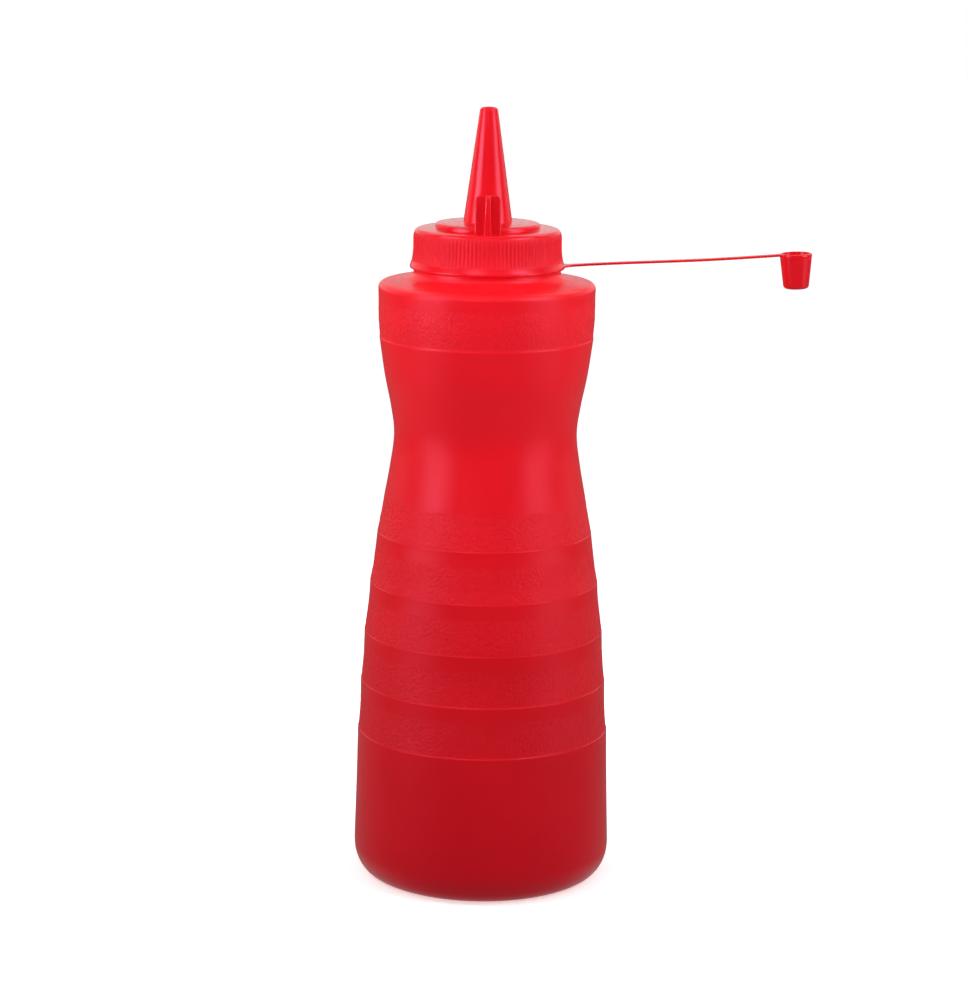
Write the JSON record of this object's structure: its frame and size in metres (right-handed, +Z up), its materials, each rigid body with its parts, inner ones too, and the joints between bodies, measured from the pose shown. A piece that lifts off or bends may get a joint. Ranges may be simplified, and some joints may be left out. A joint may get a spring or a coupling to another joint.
{
  "type": "squeeze bottle",
  "caption": "Red plastic squeeze bottle with a narrow waist, grained grip bands, a ribbed screw cap with a conical nozzle and a small tip cap on a moulded strap.",
  "frame": {"origin": "middle of the flat base, on the bottle's axis", "axes": "+Z up along the bottle's axis to the nozzle, -Y the front with the parking peg, +X along the strap to the tip cap"},
  "size_m": [0.1388, 0.08, 0.2398],
  "materials": {
    "body_red": "satin red soft plastic, with fine grained bands",
    "cap_red": "glossy red moulded plastic"
  },
  "bodies": {
    "root": {"bottle": "body_red", "cap": "cap_red"}
  },
  "joints": []
}
